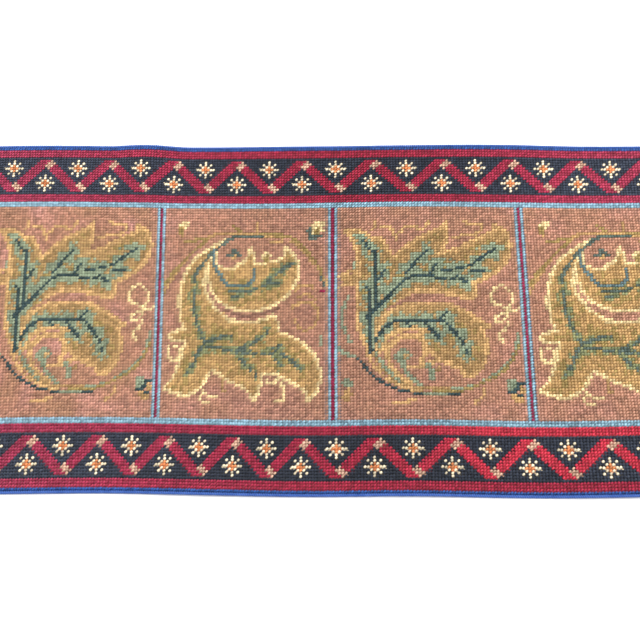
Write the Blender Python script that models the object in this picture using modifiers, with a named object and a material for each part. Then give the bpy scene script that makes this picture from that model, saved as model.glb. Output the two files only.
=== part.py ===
"""Needlepoint table runner: wool tent stitches on a ten-to-the-inch canvas, its turned edge whipped in blue wool.

It lies flat on a table with its face up. The long side runs along X, and the far long edge is at +Y. The
origin is the middle of the whole runner, on the table. Lengths are in metres.
"""

from collections import namedtuple

import bmesh
import bpy

# Canvas and stitch counts
STITCH_HEIGHT = 0.00254  # one canvas thread to the next, ten to the inch
FAR_STITCH_HEIGHT = 0.00243  # the far border has been worked a little tighter
PANEL_COLUMNS = 60
DIVIDER_COLUMNS = 3
END_COLUMNS = 7
BORDER_ROWS = 24
PANEL_ROWS = 75
ROWS = PANEL_ROWS + 2 * BORDER_ROWS
CLOTH_WIDTH = BORDER_ROWS * FAR_STITCH_HEIGHT + (ROWS - BORDER_ROWS) * STITCH_HEIGHT

# Each panel from the middle of one divider to the middle of the next, left to right.
# The wool has pulled the canvas in by a different amount in each.
PANEL_WIDTHS = (0.158, 0.1555, 0.1545, 0.1655, 0.1705, 0.160)
COLUMNS = 2 * END_COLUMNS + len(PANEL_WIDTHS) * (PANEL_COLUMNS + DIVIDER_COLUMNS) - DIVIDER_COLUMNS

# Thickness of the stitched cloth, and the roll of the whipped edge
CLOTH_THICK = 0.003
ROLL_RADIUS = 0.0015
GAP = 0.0003

# How finely the solids are cut up
CLOTH_CELLS_ALONG = 72
CLOTH_CELLS_ACROSS = 24
ROLL_BEVEL_STEPS = 2

# Where the cloth has been pulled out of square, and where it stands off the table.
# A pull is strongest at its middle (along, across) and fades out at its reach. It slides the cloth along X,
# pushes it along Y and lifts it.
Pull = namedtuple("Pull", "along across reach_along reach_across slide push lift")
PULLS = (
    # Along the far edge
    Pull(-0.300, 0.157, 0.160, 0.330, -0.0015, 0.0030, 0.0000),
    Pull(-0.180, 0.157, 0.160, 0.330, -0.0010, 0.0005, 0.0000),
    Pull(-0.060, 0.157, 0.160, 0.330, -0.0025, -0.0005, 0.0000),
    Pull(0.060, 0.157, 0.160, 0.330, 0.0010, 0.0010, 0.0000),
    Pull(0.180, 0.157, 0.160, 0.330, -0.0010, -0.0010, 0.0000),
    Pull(0.300, 0.157, 0.160, 0.330, -0.0070, -0.0020, 0.0000),
    # Along the near edge
    Pull(-0.300, -0.157, 0.160, 0.330, 0.0030, 0.0010, 0.0000),
    Pull(-0.180, -0.157, 0.160, 0.330, 0.0020, 0.0015, 0.0000),
    Pull(-0.060, -0.157, 0.160, 0.330, -0.0020, -0.0015, 0.0000),
    Pull(0.060, -0.157, 0.160, 0.330, -0.0010, -0.0005, 0.0000),
    Pull(0.180, -0.157, 0.160, 0.330, 0.0015, -0.0030, 0.0000),
    Pull(0.340, -0.157, 0.200, 0.330, 0.0035, 0.0000, 0.0000),
    # One ridge stands up at the far edge, and low ripples run in from the edges
    Pull(-0.183, 0.150, 0.037, 0.080, 0.0000, -0.0010, 0.0060),
    Pull(-0.060, 0.170, 0.070, 0.060, 0.0000, 0.0000, 0.0012),
    Pull(0.130, 0.165, 0.090, 0.060, 0.0000, 0.0000, 0.0016),
    Pull(-0.120, -0.165, 0.080, 0.060, 0.0000, 0.0000, 0.0014),
    Pull(0.060, -0.165, 0.075, 0.055, 0.0000, 0.0000, 0.0012),
    Pull(0.230, -0.170, 0.085, 0.065, 0.0000, 0.0000, 0.0018),
    Pull(0.420, 0.150, 0.080, 0.090, 0.0000, 0.0000, 0.0015),
    Pull(-0.430, -0.150, 0.080, 0.090, 0.0000, 0.0000, 0.0015),
)

# Colour of each piece's wool, as linear red, green and blue
GROUND_ROSE = (0.50, 0.21, 0.13, 1.0)
EDGE_BLUE = (0.03, 0.09, 0.32, 1.0)
WOOL_ROUGHNESS = 0.95


def clear_scene():
    for obj in list(bpy.data.objects):
        bpy.data.objects.remove(obj, do_unlink=True)


def wool(name, colour):
    material = bpy.data.materials.new(name)
    material.use_nodes = True
    shader = material.node_tree.nodes["Principled BSDF"]
    shader.inputs["Base Color"].default_value = colour
    shader.inputs["Roughness"].default_value = WOOL_ROUGHNESS
    shader.inputs["Metallic"].default_value = 0.0
    return material


def panel_marks():
    """The column and the X of each divider's middle, with the runner's two ends before and after them."""
    period = PANEL_COLUMNS + DIVIDER_COLUMNS
    first = END_COLUMNS + PANEL_COLUMNS + DIVIDER_COLUMNS / 2
    columns = [0.0] + [first + period * i for i in range(len(PANEL_WIDTHS) - 1)] + [float(COLUMNS)]
    places = [0.0]
    for width, start, stop in zip(PANEL_WIDTHS, columns, columns[1:]):
        places.append(places[-1] + width * (stop - start) / period)
    middle = places[-1] / 2
    return columns, [place - middle for place in places]


def squared_up(column, row):
    """X and Y of a canvas point before the cloth is pulled about. Rows count from the far edge."""
    columns, places = panel_marks()
    for i in range(len(PANEL_WIDTHS)):
        if column <= columns[i + 1]:
            break
    share = (column - columns[i]) / (columns[i + 1] - columns[i])
    x = places[i] + share * (places[i + 1] - places[i])
    far_rows = min(row, BORDER_ROWS)
    return x, CLOTH_WIDTH / 2 - far_rows * FAR_STITCH_HEIGHT - (row - far_rows) * STITCH_HEIGHT


def pulled(x, y):
    """Where the cloth really lies, and how high above the table."""
    slide, push, lift = 0.0, 0.0, 0.0
    for pull in PULLS:
        off = ((x - pull.along) / pull.reach_along) ** 2 + ((y - pull.across) / pull.reach_across) ** 2
        strength = max(0.0, 1.0 - off) ** 2
        slide += pull.slide * strength
        push += pull.push * strength
        lift += pull.lift * strength
    return x + slide, y + push, lift


def edge_points(side):
    """Points along one edge of the cloth: far and near run left to right, left and right run near to far."""
    if side in ("far", "near"):
        row = 0 if side == "far" else ROWS
        steps = [(COLUMNS * i / CLOTH_CELLS_ALONG, row) for i in range(CLOTH_CELLS_ALONG + 1)]
    else:
        column = 0 if side == "left" else COLUMNS
        steps = [(column, ROWS - ROWS * i / CLOTH_CELLS_ACROSS) for i in range(CLOTH_CELLS_ACROSS + 1)]
    return [pulled(*squared_up(column, row)) for column, row in steps]


def middle_of_runner():
    """X and Y of the middle of the box round the cloth, which becomes the origin."""
    outline = [point for side in ("far", "near", "left", "right") for point in edge_points(side)]
    across = [point[0] for point in outline]
    along = [point[1] for point in outline]
    return (min(across) + max(across)) / 2, (min(along) + max(along)) / 2


def stitched_canvas(collection, middle):
    """The stitched cloth, its canvas edge turned under: one even sheet, flat on the table but for its ripples."""
    mesh = bpy.data.meshes.new("stitched_canvas")
    sheet = bmesh.new()
    bmesh.ops.create_grid(
        sheet, x_segments=CLOTH_CELLS_ALONG, y_segments=CLOTH_CELLS_ACROSS, size=0.5
    )
    for vert in sheet.verts:
        column = (vert.co.x + 0.5) * COLUMNS
        row = (0.5 - vert.co.y) * ROWS
        x, y, lift = pulled(*squared_up(column, row))
        vert.co = (x - middle[0], y - middle[1], lift)
    sheet.to_mesh(mesh)
    sheet.free()
    obj = bpy.data.objects.new("stitched_canvas", mesh)
    collection.objects.link(obj)
    thickness = obj.modifiers.new("cloth thickness", "SOLIDIFY")
    thickness.thickness = CLOTH_THICK
    thickness.offset = 1.0
    mesh.materials.append(wool("stitched wool", GROUND_ROSE))
    return obj


def whipped_edge(collection, middle, side, material):
    """One side of the whipped edge: blue wool wound round the turned canvas, a round roll beside the cloth."""
    out = ROLL_RADIUS + GAP
    sign = 1.0 if side in ("far", "right") else -1.0
    line = []
    for x, y, lift in edge_points(side):
        if side in ("far", "near"):
            line.append([x - middle[0], y - middle[1] + sign * out, lift + ROLL_RADIUS])
        else:
            line.append([x - middle[0] + sign * out, y - middle[1], lift + ROLL_RADIUS])
    if side in ("far", "near"):
        # The two long rolls run on past the ends, so that they close the corners
        line[0][0] -= GAP + 2 * ROLL_RADIUS
        line[-1][0] += GAP + 2 * ROLL_RADIUS
    curve = bpy.data.curves.new("edge_" + side, "CURVE")
    curve.dimensions = "3D"
    curve.bevel_depth = ROLL_RADIUS
    curve.bevel_resolution = ROLL_BEVEL_STEPS
    curve.use_fill_caps = True
    spline = curve.splines.new("POLY")
    spline.points.add(len(line) - 1)
    for point, place in zip(spline.points, line):
        point.co = (*place, 1.0)
    curve.materials.append(material)
    obj = bpy.data.objects.new("edge_" + side, curve)
    collection.objects.link(obj)
    return obj


def build():
    clear_scene()
    collection = bpy.data.collections.new("needlepoint_runner")
    bpy.context.scene.collection.children.link(collection)
    middle = middle_of_runner()
    stitched_canvas(collection, middle)
    blue = wool("blue edge wool", EDGE_BLUE)
    for side in ("far", "near", "left", "right"):
        whipped_edge(collection, middle, side, blue)


build()
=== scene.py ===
"""Looks of the needlepoint table runner: every tent stitch in its own wool, on canvas, with a whipped edge.

Lengths are in metres, in the frame's own axes: X along the runner, +Y to its far long edge, +Z up.
Stitches are counted in columns from the left end and in rows from the far edge.
"""

import math
from collections import namedtuple

import bpy
import numpy as np
from mathutils import Matrix, Vector


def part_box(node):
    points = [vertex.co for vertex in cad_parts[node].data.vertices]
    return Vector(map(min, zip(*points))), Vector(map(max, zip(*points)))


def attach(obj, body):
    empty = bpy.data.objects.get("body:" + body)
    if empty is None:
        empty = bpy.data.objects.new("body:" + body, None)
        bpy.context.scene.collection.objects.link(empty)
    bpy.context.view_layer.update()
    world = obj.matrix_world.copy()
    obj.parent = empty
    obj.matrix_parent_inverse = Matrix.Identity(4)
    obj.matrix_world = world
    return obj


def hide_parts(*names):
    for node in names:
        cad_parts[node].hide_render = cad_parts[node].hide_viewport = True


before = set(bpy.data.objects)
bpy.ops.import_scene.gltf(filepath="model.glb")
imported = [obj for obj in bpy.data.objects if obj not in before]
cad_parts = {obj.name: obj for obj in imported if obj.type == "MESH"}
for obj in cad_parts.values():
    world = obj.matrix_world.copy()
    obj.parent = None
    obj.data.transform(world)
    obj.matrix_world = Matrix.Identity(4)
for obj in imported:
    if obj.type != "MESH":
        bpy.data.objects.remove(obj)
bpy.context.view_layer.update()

# Canvas and stitch counts
STITCH = 0.00254  # one canvas thread to the next, ten to the inch
FAR_STITCH = 0.00243  # the far border has been worked a little tighter
PANEL_COLUMNS = 60
PANEL_ROWS = 75
DIVIDER_COLUMNS = 3
END_COLUMNS = 7
BORDER_ROWS = 24
ROWS = PANEL_ROWS + 2 * BORDER_ROWS
CLOTH_WIDTH = BORDER_ROWS * FAR_STITCH + (ROWS - BORDER_ROWS) * STITCH
PANEL_WIDTHS = (0.158, 0.1555, 0.1545, 0.1655, 0.1705, 0.160)  # divider to divider, left to right
PANELS = len(PANEL_WIDTHS)
PERIOD = PANEL_COLUMNS + DIVIDER_COLUMNS
COLUMNS = 2 * END_COLUMNS + PANELS * PERIOD - DIVIDER_COLUMNS
MIDDLE_COLUMN = COLUMNS // 2

# Rows of each stripe of a border, from its outer edge inwards
BLUE_ROWS = 1
CRIMSON_ROWS = 3
ZIGZAG_ROWS = 15
SKY_ROWS = 2
REPEAT = 24  # columns of one zigzag
RIBBON = 5  # columns that its ribbon covers in a row

# One stitch, and how it lies on its square
YARN_LENGTH = 0.0028
YARN_WIDTH = 0.0022
YARN_HEIGHT = 0.0013
YARN_MIDDLE = 0.00235  # height of its middle over the table
YARN_DIP = 0.0004  # how far its ends dip into the holes
YARN_BLUNT = 0.6  # how full it stays towards its ends
YARN_SLANT = math.radians(45)
YARN_UNEVEN = 0.13  # how far its slant, in radians, and its girth, as a share, stray
PLY_PITCH = 0.0009  # one ply's ridge to the next along the yarn
STRAY = 0.07  # how far it strays from the middle of its square, in stitches
THICKER = 0.22  # how much thicker the lightest wools are than the others
PALE = 0.95  # red, green and blue of a wool added up, past which it is thicker

# The canvas under the stitches
CANVAS_THICK = 0.0020
CANVAS_CELLS = 195  # cells along the runner, each under two columns of stitches
HEM = 0.3  # how far the turned canvas runs on under the whipping, in stitches
IN_THE_SHADE = 0.80  # painted shade: how dark the wool is painted deep between the stitches, where it is also painted a deeper colour
DEEPER = 1.25
LIGHTER = 2.6  # painted shade there: how much lighter a wool is painted than a darker one beside it, at the most
MAP_SHARE = 0.98  # how much of its half of the map the back or the face fills

# The whipped edge
ROLL_RADIUS = 0.0015
WHIP_YARN = 0.001
WHIP_SPACING = STITCH * 0.72
WHIP_LEAN = math.radians(24)
WHIP_UNEVEN = 0.09
CORE_RADIUS = ROLL_RADIUS - WHIP_YARN * 0.6
CORE_STEP = 3  # stitches from one point of the core to the next

# How uneven the dyeing is, as shares of a wool's lightness
STITCH_TONE = 0.30
NEEDLEFUL_TONE = 0.06
PATCH_TONE = 0.05
NEEDLEFUL = (20, 45)  # the fewest and the most stitches worked with one length of wool

# Where the cloth has been pulled out of square, and where it stands off the table
Pull = namedtuple("Pull", "along across reach_along reach_across slide push lift")
PULLS = (
    # Along the far edge
    Pull(-0.300, 0.157, 0.160, 0.330, -0.0015, 0.0030, 0.0000),
    Pull(-0.180, 0.157, 0.160, 0.330, -0.0010, 0.0005, 0.0000),
    Pull(-0.060, 0.157, 0.160, 0.330, -0.0025, -0.0005, 0.0000),
    Pull(0.060, 0.157, 0.160, 0.330, 0.0010, 0.0010, 0.0000),
    Pull(0.180, 0.157, 0.160, 0.330, -0.0010, -0.0010, 0.0000),
    Pull(0.300, 0.157, 0.160, 0.330, -0.0070, -0.0020, 0.0000),
    # Along the near edge
    Pull(-0.300, -0.157, 0.160, 0.330, 0.0030, 0.0010, 0.0000),
    Pull(-0.180, -0.157, 0.160, 0.330, 0.0020, 0.0015, 0.0000),
    Pull(-0.060, -0.157, 0.160, 0.330, -0.0020, -0.0015, 0.0000),
    Pull(0.060, -0.157, 0.160, 0.330, -0.0010, -0.0005, 0.0000),
    Pull(0.180, -0.157, 0.160, 0.330, 0.0015, -0.0030, 0.0000),
    Pull(0.340, -0.157, 0.200, 0.330, 0.0035, 0.0000, 0.0000),
    # One ridge stands up at the far edge, and low ripples run in from the edges
    Pull(-0.183, 0.150, 0.037, 0.080, 0.0000, -0.0010, 0.0060),
    Pull(-0.060, 0.170, 0.070, 0.060, 0.0000, 0.0000, 0.0012),
    Pull(0.130, 0.165, 0.090, 0.060, 0.0000, 0.0000, 0.0016),
    Pull(-0.120, -0.165, 0.080, 0.060, 0.0000, 0.0000, 0.0014),
    Pull(0.060, -0.165, 0.075, 0.055, 0.0000, 0.0000, 0.0012),
    Pull(0.230, -0.170, 0.085, 0.065, 0.0000, 0.0000, 0.0018),
    Pull(0.420, 0.150, 0.080, 0.090, 0.0000, 0.0000, 0.0015),
    Pull(-0.430, -0.150, 0.080, 0.090, 0.0000, 0.0000, 0.0015),
)

# The maker's wools, as sRGB colours
WOOLS = {
    "rose": "#BC8A72",
    "crimson": "#A3233F",
    "black": "#2E333F",
    "sky": "#8BB1C2",
    "blue": "#2A5395",
    "cream": "#E5D5B6",
    "orange": "#DC8650",
    "pink": "#CFA88F",
    "plum": "#962548",
    "yellow": "#D4AC74",
    "ochre": "#B3905F",
    "olive": "#A68E56",
    "sage": "#93A085",
    "teal": "#3A4F52",
    "straw": "#E9D09A",
    "moss": "#5F6F66",
    "fern": "#8A8F66",
    "slate": "#667F82",
    "mauve": "#8C6656",
    "sand": "#C29C66",
}
THREAD = {name: number for number, name in enumerate(WOOLS)}


def linear(colour):
    """An sRGB hex colour as linear red, green and blue."""
    parts = [int(colour[i : i + 2], 16) / 255 for i in (1, 3, 5)]
    return [part / 12.92 if part <= 0.04045 else ((part + 0.055) / 1.055) ** 2.4 for part in parts]


# How the cloth lies


def panel_marks():
    """The column and the X of each divider's middle, with the runner's two ends before and after them."""
    first = END_COLUMNS + PANEL_COLUMNS + DIVIDER_COLUMNS / 2
    columns = np.array([0.0] + [first + PERIOD * i for i in range(PANELS - 1)] + [float(COLUMNS)])
    places = np.concatenate([[0.0], np.cumsum(np.array(PANEL_WIDTHS) * np.diff(columns) / PERIOD)])
    return columns, places - places[-1] / 2


def pulled(columns, rows):
    """X, Y and height of the cloth's underside at points of the canvas, before the middle is found."""
    marks, places = panel_marks()
    x = np.interp(columns, marks, places)
    far_rows = np.minimum(rows, BORDER_ROWS)
    y = CLOTH_WIDTH / 2 - far_rows * FAR_STITCH - (rows - far_rows) * STITCH
    slide, push, lift = np.zeros_like(x), np.zeros_like(x), np.zeros_like(x)
    for pull in PULLS:
        off = ((x - pull.along) / pull.reach_along) ** 2 + ((y - pull.across) / pull.reach_across) ** 2
        strength = np.maximum(0.0, 1.0 - off) ** 2
        slide = slide + pull.slide * strength
        push = push + pull.push * strength
        lift = lift + pull.lift * strength
    return np.stack([x + slide, y + push, lift], axis=-1)


def middle_of_runner():
    """What moves the cloth so that it lies in the middle of the frame's own cloth."""
    along = np.linspace(0, COLUMNS, COLUMNS + 1)
    across = np.linspace(0, ROWS, ROWS + 1)
    outline = np.concatenate(
        [
            pulled(along, 0 * along),
            pulled(along, 0 * along + ROWS),
            pulled(0 * across, across),
            pulled(0 * across + COLUMNS, across),
        ]
    )
    low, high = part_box("stitched_canvas")
    mine = (outline.min(axis=0) + outline.max(axis=0)) / 2
    return np.array([(low[0] + high[0]) / 2 - mine[0], (low[1] + high[1]) / 2 - mine[1], 0.0])


MIDDLE = middle_of_runner()


def lie(columns, rows, height=0.0):
    """Places on the cloth, at a height over its underside, with the direction that is up out of it there."""
    columns, rows = np.asarray(columns, float), np.asarray(rows, float)
    step = 0.5
    along = pulled(columns + step, rows) - pulled(columns - step, rows)
    across = pulled(columns, rows - step) - pulled(columns, rows + step)
    up = np.cross(along, across)
    up /= np.linalg.norm(up, axis=-1, keepdims=True)
    return pulled(columns, rows) + MIDDLE + up * height, up


# Drawing on squared paper

# How far inside a leaf's edge its darker and its green stitches start, in stitches
DARK_INSIDE = 1.8
GREEN_INSIDE = 1.4


def curve_through(points, steps=30):
    """A smooth curve through a few points: each is x, y and anything else that changes along it."""
    points = np.array(points, float)
    run = np.vstack([2 * points[0] - points[1], points, 2 * points[-1] - points[-2]])
    curve = []
    for before, start, stop, after in zip(run, run[1:], run[2:], run[3:]):
        for t in np.arange(steps) / steps:
            bend = 2 * before - 5 * start + 4 * stop - after
            twist = 3 * start - before - 3 * stop + after
            curve.append(start + 0.5 * ((stop - before) * t + bend * t**2 + twist * t**3))
    return np.array(curve + [points[-1]])


class Chart:
    """A piece of squared paper: one thread for each stitch, counted from the far left corner."""

    def __init__(self, columns, rows, ground):
        self.x, self.y = np.meshgrid(np.arange(columns) + 0.5, np.arange(rows) + 0.5)
        self.threads = np.full((rows, columns), THREAD[ground])

    def distances(self, line):
        return np.hypot(self.x[..., None] - line[:, 0], self.y[..., None] - line[:, 1])

    def depth(self, lobes):
        """How deep each stitch lies inside a shape of tapering lobes: each is a list of x, y, half width."""
        deep = np.full(self.x.shape, -99.0)
        for lobe in lobes:
            line = curve_through(lobe)
            deep = np.maximum(deep, (line[:, 2] - self.distances(line)).max(axis=-1))
        return deep

    def near(self, lines):
        """How far each stitch lies from the nearest of some lines."""
        far = np.full(self.x.shape, 99.0)
        for points in lines:
            far = np.minimum(far, self.distances(curve_through(points)).min(axis=-1))
        return far

    def work(self, where, thread):
        self.threads[where] = THREAD[thread]

    def stroke(self, thread, half, *lines):
        """Lines worked in one thread, as wide as twice half."""
        self.work(self.near(lines) < half, thread)

    def motif(self, column, row, key, *lines):
        """A small chart, with its far left corner at a column and a row."""
        for down, line in enumerate(lines):
            for over, mark in enumerate(line):
                if mark in key:
                    self.threads[row + down, column + over] = THREAD[key[mark]]

    def picked(self, seed, share):
        """Stitches picked here and there, as a maker mixes two near shades."""
        random = np.random.default_rng(seed)
        rows, columns = self.x.shape
        pairs = np.kron(random.random((rows // 2 + 1, columns // 2 + 1)), np.ones((2, 2)))
        return 0.55 * pairs[:rows, :columns] + 0.45 * random.random((rows, columns)) < share

    def leaf(self, lobes, veins, shades, seed):
        """A shaded leaf: an outline, a gold body with darker stitches and green that fades from its veins."""
        deep, far = self.depth(lobes), self.near(veins)
        darker = self.picked(seed, shades.dark_share * (1.7 - far / 6))
        greener = self.picked(seed + 1, shades.green_share - far / shades.green_reach)
        veined = (far < shades.vein_half) & self.picked(seed + 2, shades.vein_share)
        self.work(deep > 0, shades.gold)
        self.work((deep > DARK_INSIDE) & darker, shades.dark)
        self.work((deep > GREEN_INSIDE) & greener, shades.green)
        self.work((deep > 0) & (deep < shades.outline_width), shades.outline)
        self.work((deep > 0) & veined, shades.vein)


Shades = namedtuple(
    "Shades",
    "outline outline_width gold dark dark_share green green_share green_reach vein vein_half vein_share",
)
SCROLL_SHADES = Shades("yellow", 1.5, "ochre", "olive", 0.22, "sage", 0.95, 4.7, "teal", 0.47, 1.0)
HOOK_SHADES = Shades("straw", 1.2, "sand", "olive", 0.34, "fern", 0.70, 4.2, "moss", 0.56, 0.76)


def scroll_panel():
    """Two scrolling leaves on one stalk, with a dashed stem, loops and buds."""
    chart = Chart(PANEL_COLUMNS, PANEL_ROWS, "rose")
    # Thin growth behind the leaves
    chart.stroke(
        "sage", 0.55, [(3.5, 33), (1.6, 38), (1.8, 43), (4, 48.5)], [(0.5, 50.5), (2, 52.5), (5.5, 53.5)]
    )
    chart.stroke("sage", 0.6, [(5.2, 20.5), (6.6, 24), (8.4, 28)])
    chart.stroke("yellow", 0.55, [(1, 25.5), (3, 24.2), (6, 23.5)], [(0, 30), (2, 28.6), (5.5, 28.6)])
    chart.stroke("ochre", 1.6, [(2.8, 26.5), (6, 26)])
    chart.stroke("sage", 0.6, [(36, 65.2), (44, 63.4), (49, 60.5), (54, 56.5), (57, 52.5), (58.5, 46)])
    chart.stroke("olive", 0.5, [(30, 65.5), (40, 65), (47, 62), (54, 57.5), (59, 49)])
    # The upper leaf, in three pointed lobes
    chart.leaf(
        [
            [(11.5, 51, 2.6), (10.2, 42, 4.2), (9.8, 32, 4.2), (9.8, 22, 3.6), (9.4, 15, 4.0),
             (6.4, 10.6, 2.8), (3.0, 8.6, 0.9)],
            [(12, 40, 3.6), (14.5, 30, 4.6), (15.4, 21.5, 4.0), (13.0, 14, 3.4)],
            [(13, 37, 3.0), (18, 28, 5.6), (25, 20, 6.2), (31.5, 13.8, 4.6), (35.2, 9.4, 2.2),
             (36.6, 6.2, 0.8)],
            [(15, 38, 2.0), (23, 28.0, 4.4), (33, 24.6, 7.0), (43, 21.5, 7.4), (50.5, 17.0, 7.0),
             (54.6, 11.6, 3.6), (53.2, 6.6, 0.8)],
            [(34, 27, 5.2), (41, 29, 4.6), (43.8, 32.6, 1.8)],
        ],
        [
            [(9.2, 29), (10.4, 33), (10.4, 50.5), (11.4, 52)],
            [(9.2, 40.4), (12.5, 37), (16, 33.5), (20.5, 28.5), (25, 25.4), (30, 25.4), (34, 26.5), (37, 27),
             (39.6, 25.8), (42.6, 28)],
            [(12.5, 36), (12.5, 18.5), (10.5, 15.5), (8.4, 12.4)],
            [(13.5, 27), (15.4, 23)],
            [(22.4, 25), (25.5, 20.8), (29.6, 16.4)],
            [(30.5, 24.4), (32.4, 21.4)],
            [(34, 23.5), (38.5, 23)],
            [(39, 22.4), (44, 21.6), (48, 18.6), (53.4, 15)],
            [(44.4, 23.5), (48.2, 23.3)],
        ],
        SCROLL_SHADES, 11,
    )
    # The lower leaf arches over and ends in a curl
    chart.stroke("rose", 1.0, [(13, 45), (16, 39.5), (20.5, 35.5), (26, 33.2), (34, 33.4), (40.5, 34.6)])
    chart.leaf(
        [
            [(13.5, 51, 1.8), (14.6, 46, 2.8), (20, 41, 4.6), (28, 40, 5.2), (36.5, 42.2, 6.8),
             (41.2, 48.6, 7.4), (42.4, 55.0, 5.0), (41.4, 60.6, 0.9)],
            [(41, 42, 4.6), (49.4, 43.2, 0.8)],
            [(31, 47, 4.8), (34, 51, 4.6), (38.5, 55.0, 3.4)],
        ],
        [
            [(12.6, 49), (13.4, 46.4), (16, 43.4), (20, 41.4), (33.5, 41.2)],
            [(33.5, 40.6), (35.6, 38.6)],
            [(34.6, 41.6), (37.5, 45), (40.4, 48.6), (41.4, 52.4)],
            [(28.4, 41.6), (30, 44.4), (32.6, 47.2)],
            [(21.6, 41.8), (23.4, 43.2)],
        ],
        SCROLL_SHADES, 23,
    )
    chart.stroke("ochre", 0.7, [(11.5, 53), (15, 58.5), (20, 63), (27, 65)])
    chart.stroke("sage", 0.6, [(12.5, 53), (15.5, 58), (19.5, 62)])
    chart.stroke("yellow", 0.6, [(9.5, 52.5), (12, 57.6), (17.5, 62.8), (26, 65.8)])
    chart.stroke("ochre", 0.55, [(27, 64.5), (36, 64.8)])
    chart.stroke(
        "yellow", 0.9,
        [(27, 55.5), (28.4, 51.6), (26.6, 47.8), (21.8, 46.8), (17.4, 49.4), (16.2, 54), (18.6, 59.4),
         (23.5, 63)],
        [(22, 57.6), (27, 57.2), (31.5, 55.4), (36, 56)],
    )
    chart.motif(
        18, 51, {"g": "sage", "y": "yellow"}, "..gg..", ".gggg.", "gggyyg", "gggyg.", ".ggg..", "..gg.."
    )
    chart.stroke("sage", 0.7, [(20.8, 56), (21.6, 59), (26, 63.4)])
    chart.stroke("sage", 1.1, [(29, 57), (30, 59)], [(29.6, 60), (29.8, 61.2)])
    chart.stroke("ochre", 0.7, [(31.4, 58.8), (32.8, 58)])
    # Dashed stem, loops and curls
    chart.stroke("sage", 0.5, [(27.5, 66.5), (35, 66.5)])
    chart.stroke(
        "teal", 0.46,
        [(6.8, 54.6), (10.2, 59), (14.6, 62.8), (20, 65.2), (26.8, 66.6)],
        [(35.5, 66.5), (38.5, 66.5)],
    )
    chart.stroke(
        "straw", 0.5,
        [(54.2, 28.6), (51.2, 30.4), (51.0, 34.4), (55.4, 36.8)],
        [(54.2, 28.6), (57.2, 31.0), (57.2, 34.8), (55.4, 38.0)],
        [(59.5, 36.6), (55.4, 38.4), (51.4, 39.6), (51.8, 41.4), (54.6, 40.8), (55.8, 38)],
        [(55.4, 41.8), (54.4, 44.0), (52.4, 46.0), (53.4, 48.2)],
    )
    chart.stroke(
        "yellow", 0.5,
        [(12.4, 5), (12.6, 7.4), (11, 9)],
        [(14, 7), (17, 7.6), (18.6, 9.4), (19.5, 12.4)],
        [(20.6, 10), (22.4, 7.6), (25.6, 7.2), (26.8, 9), (29.2, 7.8), (30.6, 5.2)],
        [(42.6, 5.4), (45, 6.6), (48, 6.6), (47.6, 9.4), (44, 10.6), (38.6, 11.2)],
        [(46.6, 64.4), (46.2, 67), (43.0, 69.4)],
        [(17.4, 69.4), (21, 69.4), (24.6, 68.2)],
    )
    # Buds in the near corners
    chart.motif(
        1, 61, {"g": "sage", "y": "sand"},
        ".gg..", "gggg.", ".ggg.", "..y..", ".yy..", ".yyy.", "yyy..", ".yy..",
    )
    chart.motif(
        54, 61, {"t": "teal", "s": "sage", "y": "sand"},
        "sss...", "sssttt", "sssty.", "ssttyy", "ttt.yy", ".yytt.", ".yyyy.", "..yyy.",
    )
    return chart.threads


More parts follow.
